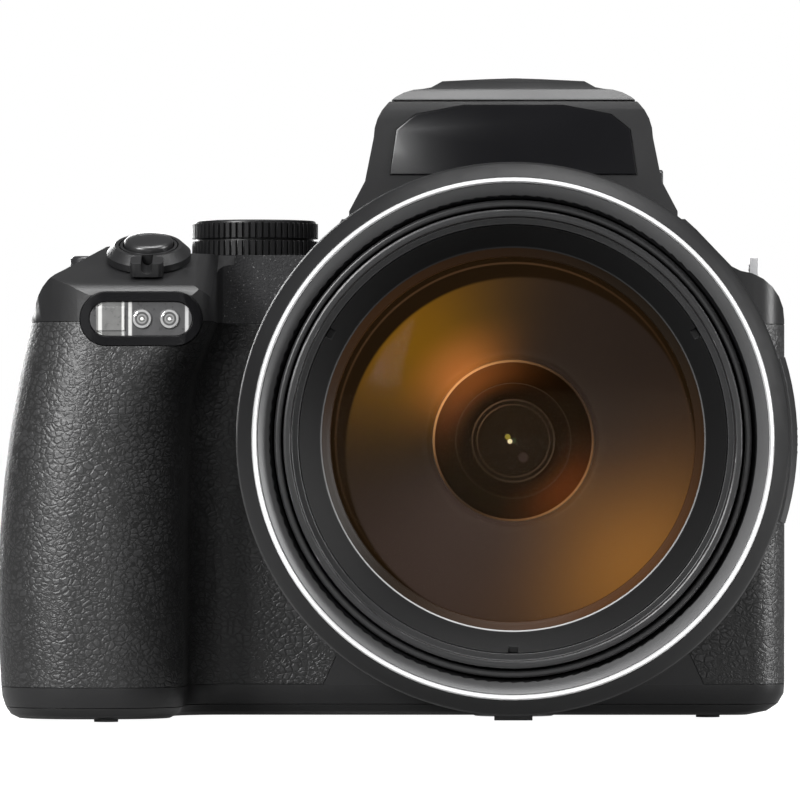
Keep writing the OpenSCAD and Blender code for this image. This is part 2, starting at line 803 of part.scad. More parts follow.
// Accessory shoe: floor, side walls and the lips over the slot
shoe_len = 19;
shoe_wall = 1.5;
shoe_floor = 0.8;
shoe_gap = 2.1;
shoe_mouth = 12.6;
contact_r = 1.1;
contact_deep = 0.3;
contact_places = [[0, 10], [-3.6, 6.4], [3.6, 6.4], [-3.6, 14], [3.6, 14]];
module hot_shoe_room() {
  half = shoe_slot / 2 + shoe_wall + seam;
  block([-half, shoe_y - seam, shoe_foot - seam], [half, far, far]);
}

module hot_shoe() {
  half = shoe_slot / 2 + shoe_wall;
  top = shoe_foot + 2 * shoe_floor + shoe_gap;
  color("#a9abae") difference() {
    block([-half, shoe_y, shoe_foot], [half, shoe_y + shoe_len, top]);
    block(
      [-shoe_slot / 2, shoe_y + 1, shoe_foot + shoe_floor],
      [shoe_slot / 2, far, shoe_foot + shoe_floor + shoe_gap]
    );
    block([-shoe_mouth / 2, shoe_y + 1, shoe_foot + shoe_floor], [shoe_mouth / 2, far, far]);
    for (p = contact_places) translate([p[0], shoe_y + p[1], shoe_foot + shoe_floor - contact_deep])
      cylinder(r = contact_r, h = shoe_gap);
  }
}

// Eyepiece at the back of the hump
eye_half = [19, 11];
eye_window = [11, 8];
eye_block_len = 7;
eye_r = 4;
eye_window_r = 2;
eye_glass_t = 3;
display_t = 2;
cup_r = 5;
cup_foot = 5;
cup_lip = [1.5, 1.2];
cup_lip_r = 6;
cup_lip_start = 3;
cup_rim = [0.5, 0.4];
cup_bore = [1, 1];
cup_bore_r = 3;
cup_mouth = [3.5, 2];
cup_mouth_r = 4;
cup_mouth_start = 4;
eye_block_back = hump_back + eye_block_len;
glass_y = hump_back + 2;
display_y = hump_back - 16;
module eye_plate(half, r, y0, y1) {
  translate([-half[0], y1, eye_height - half[1]]) rotate([90, 0, 0])
    round_plate([2 * half[0], 2 * half[1], y1 - y0], r);
}

module eyepiece_block() {
  eye_plate(eye_half, eye_r, hump_back - 1, eye_block_back);
}

module eyepiece_bore() {
  eye_plate(eye_window, eye_window_r, display_y, far);
}

module eyepiece_glass() {
  color("#2b3240")
    eye_plate(eye_window - [seam, seam], eye_window_r - seam, glass_y, glass_y + eye_glass_t);
}

module evf_display() {
  color("#101216")
    eye_plate(eye_window - [seam, seam], eye_window_r - seam, display_y + seam, display_y + display_t);
}

module eyecup() {
  wall_y = eye_block_back + seam;
  color("#141415") difference() {
    union() {
      eye_plate(eye_half, cup_r, wall_y, wall_y + cup_foot);
      eye_plate(eye_half + cup_lip, cup_lip_r, wall_y + cup_lip_start, eyecup_back - 1);
      eye_plate(eye_half + cup_rim, cup_r, wall_y + cup_lip_start, eyecup_back);
    }
    eye_plate(eye_window + cup_bore, cup_bore_r, -far, far);
    eye_plate(eye_window + cup_mouth, cup_mouth_r, wall_y + cup_mouth_start, far);
  }
}

diopter_r = 4;
diopter_y = hump_back + 3;
module diopter_room() {
  facing_end(eye_half[0] - 2.6, diopter_y, eye_height) cylinder(r = diopter_r + run, h = far);
}

module diopter_dial() {
  color("#1a1a1c") facing_end(eye_half[0] - 2.6 + run, diopter_y, eye_height) {
    linear_extrude(3) knurl(diopter_r, 0.35, 28);
    cylinder(r = diopter_r - 0.6, h = 3.4);
  }
}

// Strap lugs: one stands on the plain shoulder, one points back from the grip corner
eyelet_in = [5.3, 10.4];
eyelet_y = 6;
eyelet_sunk = [4.2, 2.6];
eyelet_rise = 5.2;
eyelet_slot = [2, 4];
slot_in = 2.2;
module eyelet_places() {
  translate([end_reach - eyelet_in[0], eyelet_y, shoulder_top - eyelet_sunk[0]]) children();
  translate([-grip_reach + eyelet_in[1], body_back - eyelet_sunk[1], deck_height + eyelet_rise])
    rotate([-90, 0, 0]) children();
}

module eyelet_blank(g) {
  translate([-lug_t / 2 - g, -eyelet_w / 2 - g, -g])
    cube([lug_t + 2 * g, eyelet_w + 2 * g, eyelet_h + 2 * g]);
}

module strap_eyelets() {
  color("#c4c6c8") eyelet_places() difference() {
    eyelet_blank(0);
    translate([-far / 2, 0, eyelet_h - slot_in]) rotate([0, 90, 0]) linear_extrude(far) {
      square(eyelet_slot, center = true);
      for (s = [-1, 1]) translate([0, s * eyelet_slot[1] / 2]) circle(eyelet_slot[0] / 2);
    }
  }
}

module lamp_bezel() {
  color("#0d0d0e") difference() {
    intersection() {
      lamp_pill(lamp_half, lamp_r, -lamp_front + lamp_depth, lamp_depth + 1);
      translate([0, 0, lamp_z - lamp_r - 1]) linear_extrude(2 * lamp_r + 2)
        polygon(front_ring(deck_height, -lamp_out, seam_back));
    }
    lamp_pill(lamp_half, lamp_r - lamp_rim, -lamp_front + lamp_sunk, far);
  }
}

module lamp_window() {
  y0 = -lamp_front + lamp_sunk - seam;
  color("#3b1512") union() {
    lamp_pill(lamp_half, lamp_r - lamp_rim - seam, y0, lamp_glass);
    for (dx = lamp_lens_x) translate([lamp_x + dx, y0, lamp_z]) rotate([90, 0, 0])
      cylinder(r = lamp_lens_r, h = lamp_glass + lamp_proud);
    translate([lamp_x - diffuser[0], y0, lamp_z - diffuser[2] / 2]) rotate([90, 0, 0])
      cube([diffuser[1], diffuser[2], lamp_glass + lamp_proud]);
  }
}

// Lens, with every piece turned about the axis at its distance ahead of the tripod socket
barrel_t = 1.3;
barrel_back = face_front + 6;
front_back = barrel_back + 2;
front_end = lens_front - 0.8;
middle_end = lens_front - 2;
thread_foot = front_end - filter_depth;
seat_d = lens_front - 26;
foot_taper = [4, 18];
pad_y = [4, 16];
pad_half = 3.5;
glass_r = filter_r - 2.3;
thread_step = 1.2;
ring_foot = seat_d + 9;
seat_t = 2;
seat_in = 1.8;
glass_curve = 75;
glass_sunk = 8;
glass_peak = lens_front - glass_sunk;
pod_half = 17;
pod_soft = [1, 3];
pod_start = 40;
pod_end = 78;
lever_half = 3.5;
lever_swing = 4;
lever_deep = 2.6;
lever_start = 50;
lever_end = 66;
snap_angle = -13;
snap_r = 2;

function cap_rise(r) = glass_curve - sqrt(glass_curve * glass_curve - r * r);

// Sector of a turned ring
module sector(half, points) {
  rotate([0, 0, -half]) rotate_extrude(angle = 2 * half) polygon(points);
}

// Place of the snap-back button on the pod, with z pointing out of it
snap_out = 0.3;
module snap_frame() {
  on_axis() rotate([0, 0, snap_angle]) translate([pod_r, 0, (lever_start + lever_end) / 2]) rotate([0, 90, 0])
    children();
}

module fixed_barrel() {
  color("#202022") difference() {
    union() {
      on_axis() turned([
        [bore_r, housing_start], [housing_foot_r, housing_start],
        [housing_foot_r, face_front + foot_taper[0]], [housing_r, face_front + foot_taper[1]],
        [housing_r, control_start], [neck_r, control_start], [neck_r, housing_end - seam],
        [bore_r, housing_end - seam]
      ]);
      on_axis() sector(pod_half, [
        [housing_r - 1, pod_start], [pod_r - pod_soft[0], pod_start + pod_soft[0]],
        [pod_r, pod_start + pod_soft[1]], [pod_r, pod_end - pod_soft[1]],
        [pod_r - pod_soft[0], pod_end - pod_soft[0]], [housing_r - 1, pod_end]
      ]);
      difference() {
        block(
          [-pad_half, -face_front - pad_y[1], 0],
          [pad_half, -face_front - pad_y[0], axis_height - housing_r + wall]
        );
        on_axis() cylinder(r = housing_r - 1, h = far);
      }
    }
    on_axis() sector(lever_half + lever_swing + 0.6, [
      [pod_r - lever_deep - run, lever_start - run], [far, lever_start - run],
      [far, lever_end + run], [pod_r - lever_deep - run, lever_end + run]
    ]);
    snap_frame() push_well(snap_r);
  }
}

module side_zoom_lever() {
  color("#19191b") on_axis() {
    sector(lever_half, [
      [pod_r - lever_deep, lever_start], [pod_r - 0.2, lever_start], [pod_r - 0.2, lever_end],
      [pod_r - lever_deep, lever_end]
    ]);
    for (a = [-2.4, -0.8, 0.8, 2.4]) rotate([0, 0, a]) sector(0.4, [
      [pod_r - 1, lever_start + 1], [pod_r + 0.4, lever_start + 1.6], [pod_r + 0.4, lever_end - 1.6],
      [pod_r - 1, lever_end - 1]
    ]);
  }
}

module snap_back_button() {
  color("#19191b") snap_frame() push_button(snap_r, snap_out, snap_out);
}

trim_half = 0.5;
trim_sunk = 2;
collar_face = 0.9;
collar_soft = [0.5, 0.6];
collar_bevel = [0.4, 3.6, 4.5];
collar_mouth = [2.6, 3.4, 3.6];
module front_collar() {
  d = lens_front;
  color("#1c1c1e") on_axis() turned([
    [bore_r, housing_end], [collar_r - collar_soft[0], housing_end], [collar_r, housing_end + collar_soft[1]],
    [collar_r, d - collar_bevel[2]], [collar_r - collar_bevel[0], d - collar_bevel[1]],
    [trim_r + trim_half, d - collar_face], [trim_r + trim_half, d - trim_sunk],
    [trim_r - trim_half, d - trim_sunk], [trim_r - trim_half, d - collar_face],
    [bore_r + 2 * slip, d - collar_mouth[0]], [bore_r + slip, d - collar_mouth[1]],
    [bore_r, d - collar_mouth[2]]
  ]);
}

module trim_ring() {
  d = lens_front;
  w = trim_half - seam / 2;
  color("#f2f2f2") on_axis() turned([
    [trim_r - w, d - trim_sunk + seam], [trim_r + w, d - trim_sunk + seam], [trim_r + w, d - trim_half],
    [trim_r + w - slip, d], [trim_r - w + slip, d], [trim_r - w, d - trim_half]
  ]);
}

module control_ring() {
  rib = 0.7;
  edge = 2;
  color("#161617") on_axis() translate([0, 0, control_start + slip]) difference() {
    union() {
      cylinder(r = housing_r, h = control_len - 2 * slip);
      translate([0, 0, edge]) linear_extrude(control_len - 2 * slip - 2 * edge)
        knurl(housing_r + rib, rib, control_ribs);
    }
    translate([0, 0, -1]) cylinder(r = neck_r + slip / 2, h = far);
  }
}

barrel_soft = 0.4;
module middle_barrel() {
  inner = middle_r - barrel_t;
  color("#2b2b2d") on_axis() turned([
    [inner, barrel_back], [middle_r, barrel_back], [middle_r, middle_end - barrel_soft],
    [middle_r - barrel_soft, middle_end], [inner + slip, middle_end], [inner, middle_end - slip]
  ]);
}

module front_barrel() {
  bore = glass_r + seam;
  color("#242426") on_axis() turned([
    [bore, front_back], [front_r, front_back], [front_r, front_end - 0.3], [front_r - 0.3, front_end],
    [filter_r + 0.3, front_end], [filter_r, front_end - 0.3], [filter_r, thread_foot],
    [filter_r - thread_step, thread_foot], [filter_r - thread_step, ring_foot], [bore, ring_foot],
    [bore, seat_d],
    [bore - seat_in, seat_d], [bore - seat_in, seat_d - seat_t], [bore, seat_d - seat_t]
  ]);
}

ring_slope = [4.4, 5.2, 6.4];
ring_lip = 2;
ring_land = 2.4;
ring_gap = 0.5;
notch = [2.2, 1.6, 1.6];
module plain_ring() {
  outer = filter_r - thread_step - seam;
  lip_r = plain_ring_r - ring_lip;
  color("#141416") on_axis() difference() {
    turned([
      [outer, ring_foot + seam], [outer, thread_foot - seam], [plain_ring_r, thread_foot - ring_slope[0]],
      [plain_ring_r - ring_gap, thread_foot - ring_slope[1]], [lip_r, thread_foot - ring_slope[2]],
      [lip_r, glass_peak - cap_rise(lip_r) + ring_gap],
      [lip_r + ring_land, glass_peak - cap_rise(lip_r + ring_land) + ring_gap],
      [glass_r + seam, ring_foot + seam]
    ]);
    for (a = [30, 150, 270]) rotate([0, 0, a])
      translate([outer - notch[0], -notch[1] / 2, thread_foot - notch[2]]) cube([far, notch[1], far]);
  }
}

module front_element() {
  n = 24;
  color("#5a4630") on_axis() turned(concat(
    [[0, seat_d + seam], [glass_r, seat_d + seam]],
    [for (i = [n:-1:0]) let (r = glass_r * i / n) [r, glass_peak - cap_rise(r)]]
  ));
}

// Moving cell behind the front glass, with its cone towards the front
cell_sunk = 43;
cell_back = seat_d - cell_sunk;
cell_len = 13;
cell_rim = 6;
cell_lip = [0.8, 2.5];
lens_in = 1;
lens_t = 6;
lens_bulge = 3;
module variator_cell() {
  outer = glass_r - seam;
  color("#8a5a2c") on_axis() turned([
    [cell_hole_r, cell_back], [outer, cell_back], [outer, cell_back + cell_rim],
    [cell_hole_r + cell_lip[1], cell_back + cell_len], [cell_hole_r + cell_lip[0], cell_back + cell_len],
    [cell_hole_r, cell_back + cell_len - lens_in]
  ]);
}

// Lens with a flat back at d and a bulging front
module bulged_lens(r1, d, t) {
  n = 10;
  on_axis() turned(concat(
    [[0, d], [r1, d]],
    [for (i = [n:-1:0]) let (r = r1 * i / n) [r, d + t + lens_bulge * (1 - pow(r / r1, 2))]]
  ));
}

module variator_lens() {
  color("#3c3226") bulged_lens(cell_hole_r - seam, cell_back + lens_in, lens_t);
}

rear_tube_t = 2;
rear_tube_len = 24;
rear_lens_d = housing_start + 10;
rear_lens_t = 7;
module rear_cell() {
  d = housing_start;
  color("#222224") on_axis() turned([
    [rear_tube_r - rear_tube_t, d + seam], [bore_r - seam, d + seam], [bore_r - seam, d + rear_tube_t],
    [rear_tube_r, d + rear_tube_t], [rear_tube_r, d + rear_tube_len],
    [rear_tube_r - rear_tube_t, d + rear_tube_len]
  ]);
}

module rear_lens() {
  color("#30363c") bulged_lens(rear_tube_r - rear_tube_t - seam, rear_lens_d, rear_lens_t);
}

board_t = 1.6;
board_gap = 2.8;
sensor_half = [25, 22];
sensor_chip = [6, 1, 5];
module image_sensor() {
  y0 = -face_front + wall + seam;
  color("#1f5a3a") block(
    [-sensor_half[0], y0, axis_height - sensor_half[1]],
    [sensor_half[0], y0 + board_t, deck_height - wall - board_gap]
  );
  color("#20242c") block(
    [-sensor_chip[0], y0 - sensor_chip[1], axis_height - sensor_chip[2]],
    [sensor_chip[0], y0, axis_height + sensor_chip[2]]
  );
}

main_board_x = [-48, 40];
main_board_foot = 13;
main_board_gap = 8;
chip_x = [-34, -6, 20];
chip_foot = 30;
chip_size = [14, 2, 14];
module main_board() {
  y1 = seam_back - seam;
  color("#1f5a3a") block(
    [main_board_x[0], y1 - board_t, main_board_foot], [main_board_x[1], y1, deck_height - main_board_gap]
  );
  for (x = chip_x) color("#1b1d20") translate([x, y1 - board_t - chip_size[1], chip_foot]) cube(chip_size);
}

motor_x = 33;
motor_z = 22;
motor_r = [6, 2.5];
motor_len = [20, 22];
module zoom_motor() {
  color("#9a9da1") facing_back(motor_x, -face_front + wall + seam, motor_z)
    for (i = [0, 1]) cylinder(r = motor_r[i], h = motor_len[i]);
}

module battery() {
  b = battery_size;
  color("#3a3d42") translate([battery_x - b[0] / 2, battery_y - b[1] / 2, cover_foot]) cube(b);
}

module card_socket() {
  color("#9fa2a6") translate(card_place) difference() {
    cube(card_size);
    translate([0.5, 1, -1]) cube(card_size - [1, 2, 0.5]);
  }
}

shutter_out = 1.3;
shutter_soft = 0.8;
module shutter_button() {
  color("#c9cacc") shutter_frame() push_button(shutter_r, zoom_ring_h + shutter_out, shutter_soft);
}

// Cone-shaped ring round the shutter collar, with a grooved tab towards the front
ring_edge = 1.5;
ring_land_r = 0.7;
tab = [6, 4, 2.6];
tab_in = 1.4;
tab_groove_r = 1.05;
tab_floor = 0.6;
module zoom_lever() {
  r0 = collar_outer + run;
  tab_y = tab_in - zoom_ring_r - tab[1];
  color("#19191b") shutter_frame() difference() {
    union() {
      turned([
        [r0, run], [zoom_ring_r, run], [zoom_ring_r, ring_edge],
        [zoom_ring_r - 0.4 * shutter_soft, ring_edge + 0.4 * shutter_soft],
        [r0 + ring_land_r, zoom_ring_h], [r0, zoom_ring_h]
      ]);
      translate([-tab[0] / 2, tab_y, 2 * run]) round_plate(tab, 1);
    }
    translate([0, 0, 2 * run + tab_floor + tab_groove_r]) {
      rotate([90, 0, 0]) cylinder(r = tab_groove_r, h = far);
      translate([-tab_groove_r, -far, 0]) cube([2 * tab_groove_r, far, far]);
    }
    cylinder(r = r0, h = far);
  }
}

module power_button() {
  b = top_buttons[0];
  color("#2a2a2c") translate([b[0], b[1], b[3]]) push_button(b[2], 1.1, 0.5);
}

module fn_button() {
  b = top_buttons[1];
  color("#2a2a2c") translate([b[0], b[1], b[3]]) push_button(b[2], 1, 0.5);
}

// Two knurled bands with a groove between them, on a spindle
module mode_dial() {
  groove = 0.5;
  band = (mode_h - groove - 0.8) / 2;
  color("#1b1b1d") translate([mode_x, mode_y, dial_deck + run]) {
    linear_extrude(band) knurl(mode_r, 0.45, 60);
    cylinder(r = mode_r - 0.8, h = mode_h - 0.4);
    translate([0, 0, band + groove]) linear_extrude(band) knurl(mode_r, 0.45, 60);
    translate([0, 0, mode_h - 0.8]) cap(mode_r - 0.4, 0.8 - run, 0.4);
    translate([0, 0, -spindle_h]) cylinder(r = spindle_r, h = spindle_h + 1);
  }
}

module command_dial() {
  color("#1b1b1d") translate([command_x, command_y, command_z + run]) linear_extrude(command_h)
    knurl(command_r, 0.5, 44);
}

// Buttons on the back
module back_button(b, out) {
  facing_back(b[0], body_back, b[1]) push_button(b[2], out, 0.4);
}
module movie_button() {
  color("#2a2a2c") back_button(upper_buttons[0], 0.9);
}
module monitor_button() {
  color("#2a2a2c") back_button(upper_buttons[1], 0.9);
}
module playback_button() {
  color("#2a2a2c") back_button(rear_buttons[0], 0.9);
}
module display_button() {
  color("#2a2a2c") back_button(rear_buttons[1], 0.9);
}
module menu_button() {
  color("#2a2a2c") back_button(rear_buttons[2], 0.9);
}
module delete_button() {
  color("#2a2a2c") back_button(rear_buttons[3], 0.9);
}

// Ring that turns in its seat round a button
module seat_ring(r, hole, out) {
  translate([0, 0, -ring_seat + run]) turned([
    [hole, 0], [r, 0], [r, ring_seat + out - ring_soft], [r - ring_soft, ring_seat + out],
    [hole + ring_soft, ring_seat + out], [hole, ring_seat + out - ring_soft]
  ]);
}
module focus_selector() {
  color("#222224") facing_back(focus_x, body_back, focus_z) {
    seat_ring(focus_r, ae_r + run, 0.8);
    translate([focus_r - 1.1, 0, 0.6]) cylinder(r = 0.7, h = 1.2);
  }
}
module ae_button() {
  color("#2a2a2c") facing_back(focus_x, body_back, focus_z) push_button(ae_r, 1.1, 0.4);
}
module multi_selector() {
  color("#1d1d1f") facing_back(selector_x, body_back, selector_z) seat_ring(selector_r, ok_r + run, 1.1);
}
module ok_button() {
  color("#2a2a2c") facing_back(selector_x, body_back, selector_z) push_button(ok_r, 0.7, 0.4);
}

// Vari-angle monitor: hinge barrel with its arm, frame and glass
glass_in = 3;
glass_t = 1.2;
arm_in = 1.4;
module monitor_hinge() {
  z0 = monitor_foot + lug_h + run;
  h = monitor_h - 2 * lug_h - 2 * run;
  color("#2a2a2c") translate([hinge_x, hinge_y, 0]) {
    translate([0, 0, z0]) cylinder(r = hinge_r - 0.2, h = h);
    translate([seam - hinge_arm, arm_in - hinge_r, z0]) cube([hinge_arm, 2 * (hinge_r - arm_in), h]);
    translate([0, 0, monitor_foot + 0.5]) cylinder(r = pin_r, h = monitor_h - 1);
  }
}

module monitor_frame() {
  m = monitor_size;
  color("#1a1a1c") translate([monitor_start, body_back, monitor_foot]) rotate([90, 0, 0]) difference() {
    round_plate([m[0], monitor_h, m[1]], 2.5);
    translate([glass_in, glass_in, -1])
      cube([m[0] - 2 * glass_in, monitor_h - 2 * glass_in, 1 + glass_t + seam]);
  }
}

module monitor_glass() {
  m = monitor_size;
  color("#0a0b0d") translate([monitor_start + glass_in + seam, body_back, monitor_foot + glass_in + seam])
    rotate([90, 0, 0]) cube([m[0] - 2 * glass_in - 2 * seam, monitor_h - 2 * glass_in - 2 * seam, glass_t]);
}

front_cover();
grip_skin();
side_skin();
rear_cover();
base_plate();
top_cover();
fixed_barrel();
front_collar();
trim_ring();
control_ring();
middle_barrel();
front_barrel();
plain_ring();
connector_door();
front_element();
variator_cell();
variator_lens();
rear_cell();
rear_lens();
image_sensor();
main_board();
zoom_motor();
battery();
card_socket();
shutter_button();
zoom_lever();
power_button();
fn_button();
mode_dial();
command_dial();
hot_shoe();
flash_head();
flash_window();
flash_button();
nameplate();
eyecup();
eyepiece_glass();
evf_display();
diopter_dial();
monitor_hinge();
monitor_frame();
monitor_glass();
focus_selector();
ae_button();
movie_button();
monitor_button();
playback_button();
display_button();
multi_selector();
ok_button();
menu_button();
delete_button();
lamp_bezel();
lamp_window();
side_zoom_lever();
snap_back_button();
strap_eyelets();
battery_door();
battery_latch();
tripod_bush();
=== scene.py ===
"""Looks of the bridge camera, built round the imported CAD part."""

import json
import math

import bmesh
import bpy
from mathutils import Matrix, Vector

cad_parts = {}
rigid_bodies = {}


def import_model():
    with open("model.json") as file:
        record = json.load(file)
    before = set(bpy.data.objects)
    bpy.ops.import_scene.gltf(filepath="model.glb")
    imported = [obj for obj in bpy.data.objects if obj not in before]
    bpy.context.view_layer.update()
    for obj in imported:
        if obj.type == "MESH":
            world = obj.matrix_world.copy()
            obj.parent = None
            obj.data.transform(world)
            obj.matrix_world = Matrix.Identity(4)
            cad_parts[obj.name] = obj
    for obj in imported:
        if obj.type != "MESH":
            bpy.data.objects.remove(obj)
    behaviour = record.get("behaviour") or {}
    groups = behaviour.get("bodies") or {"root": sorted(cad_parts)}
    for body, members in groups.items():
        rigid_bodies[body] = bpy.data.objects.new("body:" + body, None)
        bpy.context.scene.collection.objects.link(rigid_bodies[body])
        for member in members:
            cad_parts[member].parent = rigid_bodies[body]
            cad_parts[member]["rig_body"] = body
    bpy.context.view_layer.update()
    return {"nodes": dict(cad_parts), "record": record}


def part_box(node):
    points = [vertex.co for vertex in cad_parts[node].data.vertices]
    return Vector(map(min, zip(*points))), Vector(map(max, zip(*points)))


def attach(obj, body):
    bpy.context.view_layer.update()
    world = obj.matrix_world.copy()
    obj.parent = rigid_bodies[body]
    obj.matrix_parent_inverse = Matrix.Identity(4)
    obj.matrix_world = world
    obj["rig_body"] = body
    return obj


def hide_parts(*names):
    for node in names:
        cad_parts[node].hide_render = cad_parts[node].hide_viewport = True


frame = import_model()
# One millimetre in metres, and the height of the lens axis in millimetres
MM = 0.001
AXIS_Z = 51.0
# Distance within which points of a CAD mesh are one, and angle within which its faces are one
WELD = 2e-6
FLAT_ANGLE = math.radians(0.8)
# Angles above which an edge of a CAD node is rounded and an edge of a new piece is creased
ROUND_ANGLE = math.radians(32.0)
CREASE_ANGLE = math.radians(30.0)
ROUND_STEPS = 3
# Width in millimetres of a rounded edge
EDGE = 0.35
FORWARD = (0, -1, 0)
# Radii in millimetres of the plain ring's lip, of the bevel inside it, and of the collar's satin band
LIP_R = 33.1
BEVEL_R = 32.9
SATIN_R = 43.9
# Place of the satin band along the lens, and the part of the top cover with crackle paint, in millimetres
SATIN_Y = -126
CRACKLE_X = (-58, -29)
CRACKLE_FRONT = -20
CRACKLE_TOP = 85.6
JOINTS = {joint["name"]: joint for joint in frame["record"]["behaviour"]["joints"]}


class Wire:
    """A shader socket that takes part in arithmetic and feeds other nodes."""

    def __init__(self, tree, socket=None):
        self.tree = tree
        self.socket = socket

    def make(self, kind, *values, out=0, **named):
        """A new node: values feed its inputs in order, a name feeds that input or sets that property."""
        node = self.tree.nodes.new("ShaderNode" + kind)
        for key, value in named.items():
            if key not in node.inputs:
                setattr(node, key, value)
        pairs = list(zip(node.inputs, values))
        pairs += [(node.inputs[key], value) for key, value in named.items() if key in node.inputs]
        for socket, value in pairs:
            if isinstance(value, Wire):
                self.tree.links.new(value.socket, socket)
            elif value is not None:
                socket.default_value = value
        return Wire(self.tree, node.outputs[out])

    def maths(self, operation, *others):
        return self.make("Math", self, *others, operation=operation)

    def __add__(self, other):
        return self.maths("ADD", other)

    def __sub__(self, other):
        return self.maths("SUBTRACT", other)

    def __mul__(self, other):
        return self.maths("MULTIPLY", other)

    def __truediv__(self, other):
        return self.maths("DIVIDE", other)

    def band(self, low, high, start=0.0, end=1.0):
        """A smooth step from start to end while this value goes from low to high."""
        return self.make("MapRange", self, low, high, start, end, interpolation_type="SMOOTHSTEP")

    def line(self, middle, half, soft):
        """One within half of the middle, falling to nothing over the soft distance beyond it."""
        return (self - middle).maths("ABSOLUTE").band(half, half + soft, 1.0, 0.0)

    def fan(self, degrees, sharp):
        """One at that angle, falling off softly to both sides, the faster the sharper it is."""
        return ((self - math.radians(degrees)).maths("COSINE") * 0.5 + 0.5).maths("POWER", sharp)

    def mix(self, first, second):
        """The colour between first and second that this value stands for."""
        node = self.tree.nodes.new("ShaderNodeMix")
        node.data_type = "RGBA"
        for index, value in ((0, self), (6, first), (7, second)):
            if isinstance(value, Wire):
                self.tree.links.new(value.socket, node.inputs[index])
            else:
                node.inputs[index].default_value = (*value, 1.0)
        return Wire(self.tree, node.outputs[2])


def new_material(name):
    """A node material: its start wire, its principled node and its object coordinates."""
    mat = bpy.data.materials.new(name)
    mat.use_nodes = True
    start = Wire(mat.node_tree)
    place = start.make("TexCoord", out=3)
    return mat, start, mat.node_tree.nodes["Principled BSDF"], place


def feed(mat, shader, colour=None, rough=None, normal=None, glow=None):
    """Links the varying values of a finish to its principled node."""
    sockets = {"Base Color": colour, "Roughness": rough, "Normal": normal, "Emission Color": glow}
    for name, wire in sockets.items():
        if wire is not None:
            mat.node_tree.links.new(wire.socket, shader.inputs[name])


def about(start, place, dx=0.0, dz=0.0):
    """Distance in millimetres and angle of a point about the lens axis, or about a line beside it."""
    parts = start.make("SeparateXYZ", place).socket.node.outputs
    x = Wire(start.tree, parts[0]) - dx * MM
    z = Wire(start.tree, parts[2]) - (AXIS_Z + dz) * MM
    return (x * x + z * z).maths("POWER", 0.5) / MM, z.maths("ARCTAN2", x)


def grained(name, colour, rough, grain, lift, spread=0.06, metal=0.0, coat=0.0, specular=0.4):
    """A moulded or machined finish: fine grain of that size in millimetres, with cloudy roughness."""
    mat, start, shader, place = new_material(name)
    fine = start.make("TexNoise", Vector=place, Scale=1 / (grain * MM), Detail=3.0)
    cloud = start.make("TexNoise", Vector=place, Scale=90.0, Detail=4.0)
    dark, light = ([min(1, c * part) for c in colour] for part in (0.78, 1.22))
    shade = (fine * 0.5 + cloud * 0.5).mix(dark, light)
    bump = start.make("Bump", Strength=lift, Distance=grain * MM * 0.5, Height=fine)
    feed(mat, shader, shade, cloud * (2 * spread) + (rough - spread), bump)
    shader.inputs["Metallic"].default_value = metal
    shader.inputs["Coat Weight"].default_value = coat
    shader.inputs["Coat Roughness"].default_value = 0.08
    shader.inputs["Specular IOR Level"].default_value = specular
    return mat


def leather(name):
    """Leather-grained rubber: rounded grains of two sizes, a little flattened, with painted shade in the
    creases.
    """
    mat, start, shader, place = new_material(name)
    warp = start.make("TexNoise", Vector=place, Scale=560.0, Detail=3.0, out=1)
    bent = start.make("VectorMath", warp, (0.5, 0.5, 0.5), operation="SUBTRACT")
    bent = start.make("VectorMath", bent, (0.0013, 0.0013, 0.0011), operation="MULTIPLY")
    bent = start.make("VectorMath", bent, place, operation="ADD")
    bent = start.make("VectorMath", bent, (1.0, 1.0, 1.3), operation="MULTIPLY")
    large = start.make("TexVoronoi", Vector=bent, Scale=740.0, feature="DISTANCE_TO_EDGE").band(0.0, 0.24)
    small = start.make("TexVoronoi", Vector=bent, Scale=1560.0, feature="DISTANCE_TO_EDGE").band(0.0, 0.26)
    fine = start.make("TexNoise", Vector=place, Scale=4200.0, Detail=2.0)
    patch = start.make("TexNoise", Vector=place, Scale=170.0, Detail=2.0).band(0.4, 0.62, 0.15, 0.75)
    grains = large * (small * patch + (patch * -1.0 + 1.0))
    # Painted shade: the colour is darker in the creases between the grains
    shade = grains.mix((0.008, 0.008, 0.008), (0.022, 0.022, 0.0225))
    bump = start.make("Bump", Strength=0.4, Distance=0.00018, Height=grains + fine * 0.04)
    feed(mat, shader, shade, fine * 0.16 + 0.34, bump)
    shader.inputs["Specular IOR Level"].default_value = 0.42
    return mat


def crinkle(name):
    """Grey crackle paint with bright specks."""
    mat, start, shader, place = new_material(name)
    cells = start.make("TexVoronoi", Vector=place, Scale=3000.0)
    cloud = start.make("TexNoise", Vector=place, Scale=1500.0, Detail=3.0)
    speck = start.make("TexNoise", Vector=place, Scale=2600.0, Detail=1.0).band(0.66, 0.78)
    shade = speck.mix(cloud.mix((0.010, 0.010, 0.0105), (0.024, 0.024, 0.025)), (0.11, 0.11, 0.11))
    bump = start.make("Bump", Strength=0.25, Distance=0.0003, Height=cells * 0.6 + cloud * 0.6)
    feed(mat, shader, shade, cloud * 0.2 + 0.45, bump)
    shader.inputs["Specular IOR Level"].default_value = 0.2
    return mat


def clear(name, tint, shine, rough, rim):
    """Coated glass: mostly lets light through, with a mirror that grows towards the rim."""
    mat, start, shader, place = new_material(name)
    dust = start.make("TexNoise", Vector=place, Scale=300.0, Detail=4.0)
    through = start.make("BsdfTransparent", (*tint, 1.0))
    mirror = start.make("BsdfAnisotropic", Roughness=dust * 0.03 + rough)
    edge = start.make("LayerWeight", 0.12, out=0)
    both = start.make("MixShader", edge * rim + shine, through, mirror)
    mat.node_tree.links.new(both.socket, mat.node_tree.nodes["Material Output"].inputs["Surface"])
    mat.node_tree.nodes.remove(shader)
    return mat


